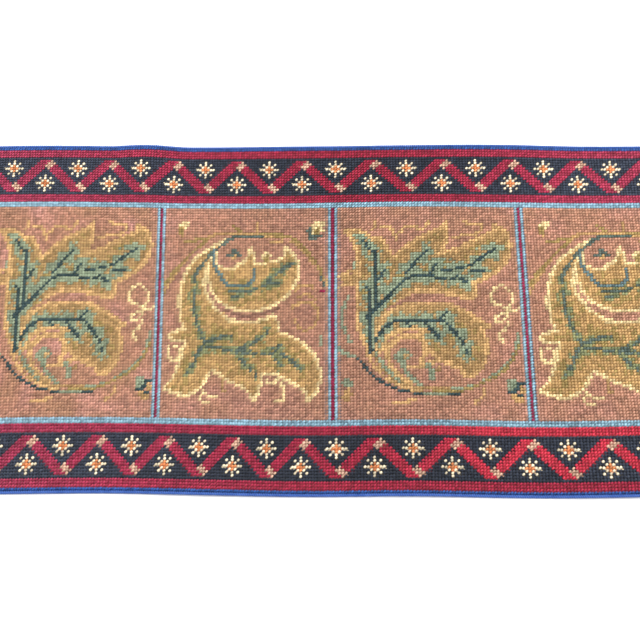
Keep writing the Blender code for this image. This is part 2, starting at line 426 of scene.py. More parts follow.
def hook_panel():
    """One broad leaf that hooks over at the top, under a thin tendril."""
    chart = Chart(PANEL_COLUMNS, PANEL_ROWS, "rose")
    chart.stroke(
        "sand", 0.6,
        [(0, 32), (3, 26.4), (7, 20.4), (12, 15), (17, 10.6), (23, 9.5), (34, 9.4), (42, 11)],
        [(40, 12.6), (44, 12)],
        [(34.5, 5.5), (34.5, 8.6)],
    )
    chart.stroke(
        "olive", 0.6,
        [(0, 29), (3.6, 24), (9, 18), (15, 12.4)],
        [(8, 12.4), (15, 11.6)],
        [(25.4, 6.6), (28, 8.6)],
        [(36, 9.6), (42, 10), (46.5, 10.8), (52, 15.4), (56, 21), (58, 25)],
    )
    chart.stroke("ochre", 0.5, [(46, 11.8), (50, 14.6), (54.6, 20.4)])
    # The broad body, spreading into points at the near edge
    chart.leaf(
        [
            [(23, 11.6, 0.6), (17.5, 16.2, 1.9), (12.4, 23, 3.8), (10.6, 31, 4.9), (11.6, 39, 5.8),
             (15.4, 46, 7.0), (15, 53, 6.8)],
            [(14.4, 51, 6.8), (11.2, 57.4, 5.6), (7.0, 62.8, 3.6), (1.4, 65, 0.8)],
            [(16, 56, 4), (10.4, 63.2, 4.2), (4, 65.6, 1.2)],
            [(12.4, 25, 2.2), (13.4, 30.4, 2.6), (15.8, 35.4, 3.2), (21, 39.6, 3.4)],
            [(16, 44, 6.0), (27, 47.4, 6.4), (36, 46.2, 6.4), (39.6, 42.6, 3.4), (40.6, 39.6, 1.0)],
            [(20, 51, 7.8), (28, 56, 7.4), (32.8, 62, 4.0), (34.2, 68.2, 0.9)],
            [(34, 51, 8.6), (44, 53, 7.8), (50.4, 57.0, 6.8), (53.8, 63.0, 3.6), (53, 68, 0.8)],
            [(8.6, 46.6, 3.0), (4.0, 46.8, 1.8)],
        ],
        [
            [(11.5, 26), (11.4, 32), (12, 39), (13.6, 44.5), (15.4, 48.5)],
            [(17, 50.5), (22, 51), (26, 51.8), (38.5, 52.4), (41.5, 54.4), (43.4, 56.6)],
            [(41.4, 52), (45, 53.2), (50.4, 57.4)],
            [(41, 50.6), (43.8, 49.4)],
            [(15.4, 49.4), (13.4, 52.6), (11.8, 56.6), (9, 60)],
            [(16, 49), (20, 47.4), (25.6, 46.2)],
            [(28, 50.8), (33, 49), (38.4, 45)],
            [(27.4, 52.4), (30.4, 56), (34.5, 60)],
        ],
        HOOK_SHADES, 37,
    )
    # The gap between the body and the hook
    chart.stroke(
        "rose", 1.0,
        [(16.7, 26.5), (17.3, 30), (18.7, 33), (21, 35.8), (24.4, 38.4), (29, 39.8), (35, 39.6), (41, 37.4),
         (49, 33)],
    )
    chart.stroke(
        "straw", 0.52,
        [(15.5, 25), (15.5, 30), (16.9, 33.6), (19.6, 37), (23, 39.4), (28, 41.4), (34, 41.5), (40.4, 38.8)],
    )
    chart.leaf(
        [
            [(19.0, 15.4, 0.8), (18.2, 21, 2.0), (21.2, 26.4, 5.0), (26.6, 29.4, 7.8), (34.4, 29.0, 8.8),
             (41.4, 26.2, 7.4), (46.0, 21.6, 4.2), (45.2, 14.4, 0.7)],
            [(29.5, 25.0, 5.0), (31.8, 20.4, 2.6), (32.4, 15.0, 0.8)],
        ],
        [
            [(25, 30.5), (31, 30.5), (35.4, 29.2), (40, 27.2), (43, 27.2)],
            [(37, 28), (41, 25), (44, 22.5), (47.4, 20.4)],
            [(26, 32.6), (28, 32)],
        ],
        HOOK_SHADES, 41,
    )
    # Its stalk runs in from the tendril, and its rib curls up inside it
    chart.stroke(
        "moss", 0.6, [(36, 10.5), (28, 10.3), (22.5, 12.8), (19, 16)], [(18.5, 16), (13, 22.6), (11.6, 26)]
    )
    chart.stroke(
        "slate", 0.66,
        [(18.4, 16), (18.7, 20.4), (21.4, 25.4), (24.4, 28.4), (30, 28.4), (33.4, 26), (33.6, 23)],
    )
    # Buds and curls
    chart.motif(
        5, 5, {"c": "straw", "g": "olive", "o": "sand"}, ".ccc", "cccc", "ggc.", "gg..", "gg..", ".o.."
    )
    chart.motif(
        52, 5, {"c": "straw", "g": "olive", "m": "moss"},
        "...cccc", "..ccccc", ".mccgc.", "mmcggcc", ".mcgg..", ".mmmmm.", ".mmm...",
    )
    chart.motif(23, 15, {"m": "moss", "o": "sand"}, "..mm..", "..mmm.", "mmmomm", "..oo..")
    chart.motif(36, 16, {"c": "straw", "g": "olive"}, ".cc.", "ccgc", "cgg.", ".gg.")
    chart.motif(57, 25, {"m": "moss", "o": "sand", "p": "plum"}, "mo.", "moo", ".mo", ".mo", "...", "pp.")
    chart.stroke(
        "straw", 0.5,
        [(2.5, 50.5), (2.3, 53.6), (4.2, 55.4), (6.6, 53.8), (6.2, 51), (4, 50.4)],
        [(20.4, 67.4), (17.4, 67), (15.4, 65.6)],
        [(15.2, 66.6), (14.8, 69), (17.4, 69.6)],
        [(38, 61.6), (39.6, 62.8), (42.4, 61.6)],
        [(43.4, 62.4), (44.8, 65.6), (44.2, 68.2), (41.6, 68.6)],
    )
    chart.stroke("ochre", 0.6, [(22.5, 61.5), (23, 65.5)])
    chart.stroke(
        "sand", 0.52,
        [(48.5, 30), (50.5, 28.5), (53, 28.3), (55, 29.2)],
        [(49.5, 32.4), (53, 31.8), (55.4, 33.2)],
        [(47.5, 36), (51, 34.6), (54.8, 35.2), (56.6, 38.4), (55.4, 42.4), (52.4, 44.2), (49.6, 43),
         (48.2, 40.6)],
    )
    chart.stroke("sage", 0.6, [(57.5, 47), (57.5, 49)])
    return chart.threads


def zigzag_band(columns):
    """A crimson ribbon folds up and down a dark ground: a flower in each bend and a knot on each turn."""
    chart = Chart(columns, ZIGZAG_ROWS, "black")
    place = np.arange(columns) - (MIDDLE_COLUMN - 1)
    for row in range(1, ZIGZAG_ROWS - 1):
        rising = (place - (13 - row)) % REPEAT < RIBBON
        falling = (place - (11 + row)) % REPEAT < RIBBON
        chart.threads[row, rising | falling] = THREAD["crimson"]
    # Each motif is centred on a column of the repeat
    flower = (
        "...c...",
        ".c.c.c.",
        "..coc..",
        "ccoOocc",
        "..coc..",
        ".c.c.c.",
        "...c...",
    )
    knot = (
        ".k.",
        "kkk",
        "kkk",
        ".k.",
    )
    key = {"c": THREAD["cream"], "o": THREAD["orange"], "O": THREAD["orange"], "k": THREAD["pink"]}
    for motif, first_row, middle, lean in (
        (flower, 1, 2, 0),
        (flower, 7, 14, 0),
        (knot, 1, 16, -1),
        (knot, 10, 3, 1),
    ):
        for down, line in enumerate(motif):
            shift = middle - len(line) // 2
            if motif is knot and down >= 2:
                shift += lean
            for over, mark in enumerate(line):
                if mark in key:
                    columns_of = (place - (shift + over)) % REPEAT == 0
                    chart.threads[first_row + down, columns_of] = key[mark]
    return chart.threads


def whole_chart():
    """The thread of every stitch of the runner, rows by columns."""
    chart = Chart(COLUMNS, ROWS, "blue")
    threads = chart.threads
    band = zigzag_band(COLUMNS)
    inner = BLUE_ROWS + CRIMSON_ROWS
    threads[BLUE_ROWS : ROWS - BLUE_ROWS, BLUE_ROWS : COLUMNS - BLUE_ROWS] = THREAD["crimson"]
    far = slice(inner, inner + ZIGZAG_ROWS)
    near = slice(ROWS - inner - ZIGZAG_ROWS, ROWS - inner)
    across = slice(inner, COLUMNS - inner)
    threads[far, across] = band[:, across]
    threads[near, across] = band[:, across]
    threads[BORDER_ROWS - SKY_ROWS : ROWS - BORDER_ROWS + SKY_ROWS, across] = THREAD["sky"]
    panels = (hook_panel(), scroll_panel())
    for i in range(PANELS):
        start = END_COLUMNS + PERIOD * i
        threads[BORDER_ROWS : ROWS - BORDER_ROWS, start : start + PANEL_COLUMNS] = panels[i % 2]
        if i < PANELS - 1:
            threads[BORDER_ROWS : ROWS - BORDER_ROWS, start + PANEL_COLUMNS + 1] = THREAD["plum"]
    # Under the hook of the third panel from the left runs a dark line that its like elsewhere don't have
    left, top = END_COLUMNS + 2 * PERIOD, BORDER_ROWS
    chart.stroke("mauve", 0.52, [(left + 22, top + 37.2), (left + 31, top + 39.2), (left + 43, top + 36.8)])
    return threads


def wavering(rows, columns, size, seed):
    """Soft patches between -1 and 1, about size stitches across."""
    random = np.random.default_rng(seed)
    coarse = random.uniform(-1, 1, (int(rows / size) + 3, int(columns / size) + 3))
    y, x = np.meshgrid(np.arange(rows) / size, np.arange(columns) / size, indexing="ij")
    top, left = y.astype(int), x.astype(int)
    v, u = y - top, x - left
    v, u = v * v * (3 - 2 * v), u * u * (3 - 2 * u)
    upper = coarse[top, left] * (1 - u) + coarse[top, left + 1] * u
    lower = coarse[top + 1, left] * (1 - u) + coarse[top + 1, left + 1] * u
    return upper * (1 - v) + lower * v


def needlefuls(rows, columns, seed):
    """One tone for each length of wool along a row, between -1 and 1."""
    random = np.random.default_rng(seed)
    tones = np.empty((rows, columns))
    for row in range(rows):
        start = 0
        while start < columns:
            stop = start + int(random.integers(NEEDLEFUL[0], NEEDLEFUL[1] + 1))
            tones[row, start:stop] = random.uniform(-1, 1)
            start = stop
    return tones


def ramp(value, start, slope):
    """Nothing up to a start, then rising to 1 and staying there."""
    return np.clip((value - start) * slope, 0, 1)


def patch(value, middle, reach):
    """1 in the middle, fading out on both sides."""
    return np.exp(-(((value - middle) / reach) ** 2))


def redyed(wool, colour):
    """What a wool is multiplied by to become another colour."""
    return np.array(linear(colour)) / np.array(linear(WOOLS[wool]))


def dyed(threads):
    """The linear colour of every stitch: its wool, with the dye lots, fading and unevenness of hand work, a
    darker middle and painted shade on its near right part.
    """
    rows, columns = threads.shape
    row, column = np.arange(rows)[:, None], np.arange(columns)[None, :]
    along = np.linspace(-1, 1, columns)[None, :]
    near = row > rows / 2
    random = np.random.default_rng(5)
    tone = 1 + STITCH_TONE * random.uniform(-1, 1, threads.shape)
    tone += NEEDLEFUL_TONE * needlefuls(rows, columns, 6)
    tone += PATCH_TONE * wavering(rows, columns, 9, 7)
    # The middle of the runner is a little darker, most of all its rose ground, and its near right part is
    # painted in shade
    tone *= 1 - 0.11 * patch(column, MIDDLE_COLUMN, 70)
    tone *= 1 - 0.10 * ramp(along, 0, 3) * ramp(row / rows, 0.4, 2)
    darker_middle = (1 - 0.07 * patch(column, MIDDLE_COLUMN, 60))[..., None]
    # The rose ground is mottled, most of all in the second panel from the left
    blotch = (wavering(rows, columns, 5, 8) * (0.35 + 0.65 * patch(column, 100, 36)))[..., None]
    mottled = np.where(blotch > 0, redyed("rose", "#CB958A"), redyed("rose", "#AE8466")) ** np.abs(blotch)
    # The crimson has faded to a duller pink towards the left end and far on the right, and has a brighter
    # dye lot near on the right inside the last stripe
    left = ramp(-along, 0, 1.4)
    far_right = ramp(along, 0.1, 2) * ~near
    near_right = ramp(along, 0, 4) * (near & (row < rows - BLUE_ROWS - CRIMSON_ROWS))
    faded = 1
    for colour, where in (("#A53A58", left), ("#AF3C59", far_right), ("#CA2F46", near_right)):
        faded = faded * redyed("crimson", colour) ** where[..., None]
    # The black has gone grey towards both ends
    greyer = (1 + 0.5 * ramp(np.abs(along), 0.15, 3) + 0.1 * ~near)[..., None]
    stitch_wools = np.array([linear(colour) for colour in WOOLS.values()])[threads] * tone[..., None]
    for wool, change in (("rose", mottled * darker_middle), ("crimson", faded), ("black", greyer)):
        stitch_wools = np.where((threads == THREAD[wool])[..., None], stitch_wools * change, stitch_wools)
    return np.clip(stitch_wools, 0, 1)


# Nodes and materials


def node(tree, kind, values=None, **settings):
    """One node. Values give its sockets a constant, an output or another node's first output."""
    made = tree.nodes.new(kind)
    for name, value in settings.items():
        setattr(made, name, value)
    for socket, value in (values or {}).items():
        if isinstance(value, bpy.types.Node):
            value = value.outputs[0]
        if isinstance(value, bpy.types.NodeSocket):
            tree.links.new(value, made.inputs[socket])
        else:
            made.inputs[socket].default_value = value
    return made


def plain_material(name):
    material = bpy.data.materials.new(name)
    material.use_nodes = True
    return material, material.node_tree, material.node_tree.nodes["Principled BSDF"]


def cover(tree, shader, colour, relief, constants):
    """Joins a colour and a relief to a shader, and sets its own sockets for what is the same all over."""
    tree.links.new(colour.outputs[0], shader.inputs["Base Color"])
    tree.links.new(relief.outputs[0], shader.inputs["Normal"])
    for socket, value in constants.items():
        shader.inputs[socket].default_value = value


def tapestry_wool():
    """Tapestry wool: four soft worsted plies twisted together, dyed, then worked by hand.

    The twist shows as fine slanting ridges along each stitch, and loose fibres make it matt with a faint
    bloom. Each stitch is painted darker low on its sides, as painted shade, and paler on top, as a painted
    highlight.
    """
    material, tree, shader = plain_material("tapestry wool")
    own = node(tree, "ShaderNodeAttribute", attribute_name="wool")
    place = node(tree, "ShaderNodeTexCoord").outputs["Object"]
    # Clumps of fibres 0.7 mm apart, coarser than the real ones, so that they show
    fibres = node(tree, "ShaderNodeTexNoise", {"Vector": place, "Scale": 1400.0, "Detail": 2.0})
    streaks = node(
        tree, "ShaderNodeMapRange",
        {"Value": fibres, "From Min": 0.25, "From Max": 0.75, "To Min": 0.8, "To Max": 1.18},
    )
    # Painted shade: each stitch is painted darker low on its sides, where one stitch presses on the next
    relief = node(tree, "ShaderNodeAttribute", attribute_name="relief").outputs["Fac"]
    sides = node(
        tree, "ShaderNodeMapRange",
        {"Value": relief, "From Min": 0.2, "From Max": 0.87, "To Min": 0.68, "To Max": 1.08},
    )
    shade = node(tree, "ShaderNodeMath", {0: streaks, 1: sides}, operation="MULTIPLY")
    # Painted highlight and painted shade: each stitch is painted paler on top, and a deeper colour low on its
    # sides, where light has gone through the wool more than once
    bloom = node(
        tree, "ShaderNodeMapRange",
        {"Value": relief, "From Min": 0.2, "From Max": 0.9, "To Min": 1.05, "To Max": 0.93},
    )
    tinted = node(tree, "ShaderNodeHueSaturation", {"Color": own, "Saturation": bloom, "Value": shade})
    # The yarn's own map runs once round it and once along it, so the ridges follow the twist
    around = node(tree, "ShaderNodeUVMap", uv_map="Yarn")
    split = node(tree, "ShaderNodeSeparateXYZ", {"Vector": around}).outputs
    along = node(
        tree, "ShaderNodeMath", {0: split["Y"], 1: YARN_LENGTH / PLY_PITCH, 2: split["X"]},
        operation="MULTIPLY_ADD",
    )
    angle = node(tree, "ShaderNodeMath", {0: along, 1: math.tau}, operation="MULTIPLY")
    ridges = node(tree, "ShaderNodeMath", {0: angle}, operation="SINE")
    twist = node(tree, "ShaderNodeBump", {"Strength": 0.35, "Distance": 0.00012, "Height": ridges})
    fuzz = node(
        tree, "ShaderNodeBump", {"Strength": 0.5, "Distance": 0.0001, "Height": fibres, "Normal": twist}
    )
    cover(
        tree, shader, tinted, fuzz,
        {
            "Roughness": 1.0, "IOR": 1.54, "Specular IOR Level": 0.1,
            "Sheen Weight": 0.08, "Sheen Roughness": 0.45,
        },
    )
    return material


def worked_canvas():
    """The canvas seen between the stitches and from the back, where the wool crosses from row to row.

    Cotton canvas covered by the backs of the stitches: long slanting strands, flatter and duller than the
    face.
    """
    material, tree, shader = plain_material("worked canvas")
    own = node(tree, "ShaderNodeAttribute", attribute_name="wool")
    squares = node(tree, "ShaderNodeUVMap", uv_map="Canvas")
    split = node(tree, "ShaderNodeSeparateXYZ", {"Vector": squares}).outputs
    # The strands on the back rise one row while they cross two columns
    lean = node(
        tree, "ShaderNodeMath", {0: split["X"], 1: 0.5, 2: split["Y"]}, operation="MULTIPLY_ADD"
    )
    angle = node(tree, "ShaderNodeMath", {0: lean, 1: math.tau}, operation="MULTIPLY")
    strands = node(tree, "ShaderNodeMath", {0: angle}, operation="COSINE")
    place = node(tree, "ShaderNodeTexCoord").outputs["Object"]
    fibres = node(tree, "ShaderNodeTexNoise", {"Vector": place, "Scale": 900.0, "Detail": 3.0})
    # The grooves between the strands are painted in shade
    shade = node(
        tree, "ShaderNodeMapRange",
        {"Value": strands, "From Min": -1.0, "From Max": 1.0, "To Min": 0.55, "To Max": 1.0},
    )
    tinted = node(tree, "ShaderNodeHueSaturation", {"Color": own, "Saturation": 0.95, "Value": shade})
    relief = node(tree, "ShaderNodeBump", {"Strength": 0.8, "Distance": 0.0005, "Height": strands})
    fuzz = node(
        tree, "ShaderNodeBump", {"Strength": 0.5, "Distance": 0.0002, "Height": fibres, "Normal": relief}
    )
    cover(tree, shader, tinted, fuzz, {"Roughness": 0.95, "IOR": 1.54, "Specular IOR Level": 0.2})
    return material


def whipping_wool():
    """Blue tapestry wool wound round the turned edge: matt, and rubbed paler on the outside of the roll."""
    material, tree, shader = plain_material("whipping wool")
    place = node(tree, "ShaderNodeTexCoord").outputs["Object"]
    # Rubbed patches 6 mm apart, and clumps of fibres 0.7 mm apart
    patches = node(tree, "ShaderNodeTexNoise", {"Vector": place, "Scale": 160.0, "Detail": 3.0})
    fibres = node(tree, "ShaderNodeTexNoise", {"Vector": place, "Scale": 1500.0, "Detail": 2.0})
    both = node(tree, "ShaderNodeMath", {0: patches, 1: 0.7, 2: fibres}, operation="MULTIPLY_ADD")
    tone = node(tree, "ShaderNodeValToRGB", {"Fac": both})
    for element, position, colour in zip(tone.color_ramp.elements, (0.55, 1.0), ("#234487", "#4464A8")):
        element.position = position
        element.color = (*linear(colour), 1)
    fuzz = node(tree, "ShaderNodeBump", {"Strength": 0.6, "Distance": 0.0001, "Height": fibres})
    cover(
        tree, shader, tone, fuzz,
        {
            "Roughness": 0.9, "IOR": 1.54, "Specular IOR Level": 0.15,
            "Sheen Weight": 0.05, "Sheen Roughness": 0.45,
        },
    )
    return material


# Geometry trees


def new_tree(name, *sizes):
    """An empty geometry tree with an input for each named size, for the seed and for the wool."""
    tree = bpy.data.node_groups.new(name, "GeometryNodeTree")
    floats = [(size, "Float") for size in sizes]
    for label, kind in [("Geometry", "Geometry"), *floats, ("Seed", "Int"), ("Wool", "Material")]:
        tree.interface.new_socket(label, in_out="INPUT", socket_type="NodeSocket" + kind)
    tree.interface.new_socket("Geometry", in_out="OUTPUT", socket_type="NodeSocketGeometry")
    return tree, node(tree, "NodeGroupInput").outputs


def swayed(tree, given, upright, axis, lean):
    """Turns each instance about an axis of its own by its lean, and by a little more or less."""
    less = node(tree, "ShaderNodeMath", {0: given["Uneven"], 1: -1.0}, operation="MULTIPLY")
    sway = node(
        tree, "FunctionNodeRandomValue", {"Min": less, "Max": given["Uneven"], "Seed": given["Seed"]},
        data_type="FLOAT",
    )
    turned = node(tree, "ShaderNodeMath", {0: sway.outputs[1], 1: given[lean]}, operation="ADD")
    turn = node(tree, "FunctionNodeAxisAngleToRotation", {"Axis": axis, "Angle": turned})
    return node(
        tree, "FunctionNodeRotateRotation", {"Rotation": upright, "Rotate By": turn}, rotation_space="LOCAL"
    )


def close_tree(tree, given, instances):
    """Sets the instances on their points, makes them real and smooth in their wool, and ends the tree."""
    placed = node(tree, "GeometryNodeInstanceOnPoints", instances)
    real = node(tree, "GeometryNodeRealizeInstances", {"Geometry": placed})
    smooth = node(tree, "GeometryNodeSetShadeSmooth", {"Geometry": real})
    worked = node(tree, "GeometryNodeSetMaterial", {"Geometry": smooth, "Material": given["Wool"]})
    node(tree, "NodeGroupOutput", {"Geometry": worked})


def stitch_tree():
    """Lays one tent stitch on each square of canvas: a full strand that dips into a hole at both ends."""
    tree, given = new_tree(
        "tent stitches", "Yarn length", "Yarn width", "Yarn height", "Dip", "Blunt", "Slant", "Uneven"
    )
    strand = node(tree, "GeometryNodeMeshUVSphere", {"Segments": 4, "Rings": 3, "Radius": 0.5})
    mapped = node(
        tree, "GeometryNodeStoreNamedAttribute",
        {"Geometry": strand, "Name": "Yarn", "Value": strand.outputs["UV Map"]},
        data_type="FLOAT2", domain="CORNER",
    )
    size = node(
        tree, "ShaderNodeCombineXYZ",
        {"X": given["Yarn height"], "Y": given["Yarn width"], "Z": given["Yarn length"]},
    )
    full = node(tree, "GeometryNodeTransform", {"Geometry": mapped, "Scale": size})
    laid = node(tree, "GeometryNodeTransform", {"Geometry": full, "Rotation": (0.0, math.pi / 2, 0.0)})
    # The ends dip as the square of their distance from the middle, and stay full until close to their tips
    spot = node(tree, "GeometryNodeInputPosition")
    parts = node(tree, "ShaderNodeSeparateXYZ", {"Vector": spot}).outputs
    reach = node(tree, "ShaderNodeMath", {0: parts["X"], 1: given["Yarn length"]}, operation="DIVIDE")
    square = node(tree, "ShaderNodeMath", {0: reach, 1: reach}, operation="MULTIPLY")
    drop = node(tree, "ShaderNodeMath", {0: square, 1: given["Dip"]}, operation="MULTIPLY")
    down = node(tree, "ShaderNodeMath", {0: drop, 1: -4.0}, operation="MULTIPLY")
    inside = node(tree, "ShaderNodeMath", {0: square, 1: -4.0, 2: 1.0}, operation="MULTIPLY_ADD")
    fuller = node(tree, "ShaderNodeMath", {0: inside, 1: given["Blunt"]}, operation="MULTIPLY")
    out = node(tree, "ShaderNodeMath", {0: parts["X"], 1: fuller}, operation="MULTIPLY")
    offset = node(tree, "ShaderNodeCombineXYZ", {"X": out, "Z": down})
    # How far up its rounded side each point is, from 0 at the widest to 1 at the top
    top = node(tree, "ShaderNodeMath", {0: given["Yarn height"], 1: 0.5}, operation="MULTIPLY")
    share = node(tree, "ShaderNodeMath", {0: parts["Z"], 1: top}, operation="DIVIDE")
    marked = node(
        tree, "GeometryNodeStoreNamedAttribute", {"Geometry": laid, "Name": "relief", "Value": share},
        data_type="FLOAT", domain="POINT",
    )
    bent = node(tree, "GeometryNodeSetPosition", {"Geometry": marked, "Offset": offset})
    # Each stitch stands on its square, slants up to the right, is a little uneven and as thick as its wool
    squares = node(tree, "GeometryNodeMeshToPoints", {"Mesh": given["Geometry"]}, mode="FACES")
    up = node(tree, "GeometryNodeInputNamedAttribute", {"Name": "up"}, data_type="FLOAT_VECTOR")
    upright = node(tree, "FunctionNodeAlignRotationToVector", {"Vector": up.outputs["Attribute"]}, axis="Z")
    smaller = node(tree, "ShaderNodeMath", {0: 1.0, 1: given["Uneven"]}, operation="SUBTRACT")
    larger = node(tree, "ShaderNodeMath", {0: 1.0, 1: given["Uneven"]}, operation="ADD")
    next_seed = node(tree, "ShaderNodeMath", {0: given["Seed"], 1: 1.0}, operation="ADD")
    plump = node(
        tree, "FunctionNodeRandomValue", {"Min": smaller, "Max": larger, "Seed": next_seed}, data_type="FLOAT"
    )
    thick = node(tree, "GeometryNodeInputNamedAttribute", {"Name": "thickness"}, data_type="FLOAT")
    girth = node(
        tree, "ShaderNodeMath", {0: plump.outputs[1], 1: thick.outputs["Attribute"]}, operation="MULTIPLY"
    )
    stretch = node(tree, "ShaderNodeCombineXYZ", {"X": 1.0, "Y": girth, "Z": girth})
    facing = swayed(tree, given, upright, (0.0, 0.0, 1.0), "Slant")
    close_tree(tree, given, {"Points": squares, "Instance": bent, "Rotation": facing, "Scale": stretch})
    return tree


def whip_tree():
    """Winds leaning loops of wool along a line at an even spacing."""
    tree, given = new_tree("whipped loops", "Spacing", "Roll radius", "Yarn", "Lean", "Uneven")
    half = node(tree, "ShaderNodeMath", {0: given["Yarn"], 1: 0.5}, operation="MULTIPLY")
    inner = node(tree, "ShaderNodeMath", {0: given["Roll radius"], 1: half}, operation="SUBTRACT")
    circle = node(tree, "GeometryNodeCurvePrimitiveCircle", {"Resolution": 10, "Radius": inner})
    # A loop reaches a little way in over the cloth's last thread
    ring = node(tree, "GeometryNodeTransform", {"Geometry": circle, "Scale": (1.0, 1.25, 1.0)})
    section = node(tree, "GeometryNodeCurvePrimitiveCircle", {"Resolution": 4, "Radius": half})
    wide = node(tree, "GeometryNodeTransform", {"Geometry": section, "Scale": (1.0, 1.35, 1.0)})
    loop = node(tree, "GeometryNodeCurveToMesh", {"Curve": ring, "Profile Curve": wide})
    steps = node(
        tree, "GeometryNodeResampleCurve", {"Curve": given["Geometry"], "Length": given["Spacing"]},
        mode="LENGTH",
    )
    points = node(tree, "GeometryNodeCurveToPoints", {"Curve": steps}, mode="EVALUATED")
    run = node(tree, "FunctionNodeAlignRotationToVector", {"Vector": points.outputs["Tangent"]}, axis="Z")
    # Seen from above, every loop slants across the roll
    upright = node(
        tree, "FunctionNodeAlignRotationToVector", {"Rotation": run, "Vector": (0.0, 0.0, 1.0)},
        axis="X", pivot_axis="Z",
    )
    facing = swayed(tree, given, upright, (1.0, 0.0, 0.0), "Lean")
    close_tree(tree, given, {"Points": points, "Instance": loop, "Rotation": facing})
    return tree


# Making pieces


def linked(name, data):
    """A new object in the scene."""
    obj = bpy.data.objects.new(name, data)
    bpy.context.scene.collection.objects.link(obj)
    return obj


def made_plain(source, name):
    """A plain mesh object of what a source object shows. The source is then removed."""
    graph = bpy.context.evaluated_depsgraph_get()
    mesh = bpy.data.meshes.new_from_object(source.evaluated_get(graph), depsgraph=graph)
    mesh.name = name
    piece = linked(name, mesh)
    bpy.data.objects.remove(source)
    return piece


def made_by(tree, source, name, values):
    """A plain mesh object of what a tree makes from a source object."""
    modifier = source.modifiers.new(tree.name, "NODES")
    modifier.node_group = tree
    sockets = {item.name: item.identifier for item in tree.interface.items_tree if item.in_out == "INPUT"}
    for label, value in values.items():
        modifier[sockets[label]] = value
    return made_plain(source, name)


def dress(piece, solid):
    """Tells the frame that a piece rides on the only body, and hides the solid it stands for."""
    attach(piece, "root")
    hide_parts(solid)
    return piece


def spread(mesh, name, places):
    """A map from the place of each vertex on it."""
    corners = np.empty(len(mesh.loops), np.int32)
    mesh.loops.foreach_get("vertex_index", corners)
    mesh.uv_layers.new(name=name).data.foreach_set("uv", places[corners].ravel())


# The stitched cloth


def bake_map(mesh, centres, size):
    """The map that finishes are drawn into: the cloth from above, a long strip cut into stacked lengths."""
    start = centres.min(axis=0)
    span = centres.max(axis=0) - start + 2 * size
    lengths = max(1, round(math.sqrt(span[0] / span[1])))
    turn = np.minimum(((centres[:, 0] - start[0] + size) / span[0] * lengths).astype(int), lengths - 1)
    points = np.empty(len(mesh.vertices) * 3)
    mesh.vertices.foreach_get("co", points)
    points = points.reshape(-1, 3)
    u = (points[:, 0] - start[0] + size) / span[0] * lengths - turn
    v = ((points[:, 1] - start[1] + size) / span[1] + turn) / lengths
    spread(mesh, "OFBake", np.stack([u, v], axis=-1))


def squares_of_canvas(name, chosen, colours, seed):
    """Chosen squares of the canvas as loose quads at the stitches' height, each with its wool's colour."""
    rows, columns = np.nonzero(chosen)
    count = len(rows)
    # The squares of a hand-held canvas are never quite even
    random = np.random.default_rng(seed)
    left = columns + random.uniform(-STRAY, STRAY, count)
    top = rows + random.uniform(-STRAY, STRAY, count)
    middle, up = lie(left + 0.5, top + 0.5, YARN_MIDDLE)
    around = ((0, 1), (1, 1), (1, 0), (0, 0))
    corners = [lie(left + over, top + down, YARN_MIDDLE)[0] for over, down in around]
    mesh = bpy.data.meshes.new(name)
    mesh.vertices.add(4 * count)
    mesh.loops.add(4 * count)
    mesh.polygons.add(count)
    mesh.vertices.foreach_set("co", np.stack(corners, axis=1).ravel())
    mesh.loops.foreach_set("vertex_index", np.arange(4 * count))
    mesh.polygons.foreach_set("loop_start", np.arange(count) * 4)
    mesh.update(calc_edges=True)
    wool = np.concatenate([colours[rows, columns], np.ones((count, 1))], axis=1)
    # The lightest wools are the thickest
    thickness = 1 + THICKER * np.clip(wool[:, :3].sum(axis=-1) - PALE, 0, 1)
    for label, kind, part, values in (
        ("wool", "FLOAT_COLOR", "color", wool),
        ("up", "FLOAT_VECTOR", "vector", up),
        ("thickness", "FLOAT", "value", thickness),
    ):
        mesh.attributes.new(label, kind, "FACE").data.foreach_set(part, values.ravel())
    return linked(name + "_canvas", mesh), middle


def stitches(name, chosen, colours, tree, material, seed):
    """The tent stitches of one part of the runner."""
    source, middles = squares_of_canvas(name, chosen, colours, seed)
    piece = made_by(
        tree, source, name,
        {
            "Yarn length": YARN_LENGTH, "Yarn width": YARN_WIDTH, "Yarn height": YARN_HEIGHT, "Dip": YARN_DIP,
            "Blunt": YARN_BLUNT, "Slant": YARN_SLANT, "Uneven": YARN_UNEVEN, "Seed": seed, "Wool": material,
        },
    )
    mesh = piece.data
    for used in ("up", "thickness"):
        mesh.attributes.remove(mesh.attributes[used])
    bake_map(mesh, np.repeat(middles, len(mesh.vertices) // len(middles), axis=0), YARN_LENGTH)
    return dress(piece, "stitched_canvas")


def all_stitches(colours):
    """Every stitch, in a piece for each panel, each border, the dividers and the ends."""
    tree = stitch_tree()
    material = tapestry_wool()
    row, column = np.meshgrid(np.arange(ROWS), np.arange(COLUMNS), indexing="ij")
    inside = (row >= BORDER_ROWS) & (row < ROWS - BORDER_ROWS)
    between = inside & (column >= END_COLUMNS) & (column < COLUMNS - END_COLUMNS)
    parts = {
        "stitches_far_border": row < BORDER_ROWS,
        "stitches_near_border": row >= ROWS - BORDER_ROWS,
        "stitches_ends": inside & ~between,
    }
    for i in range(PANELS):
        start = END_COLUMNS + PERIOD * i
        panel = inside & (column >= start) & (column < start + PANEL_COLUMNS)
        parts[f"stitches_panel_{i + 1}"] = panel
        between = between & ~panel
    parts["stitches_dividers"] = between
    return [
        stitches(name, chosen, colours, tree, material, seed)
        for seed, (name, chosen) in enumerate(parts.items(), start=3)
    ]


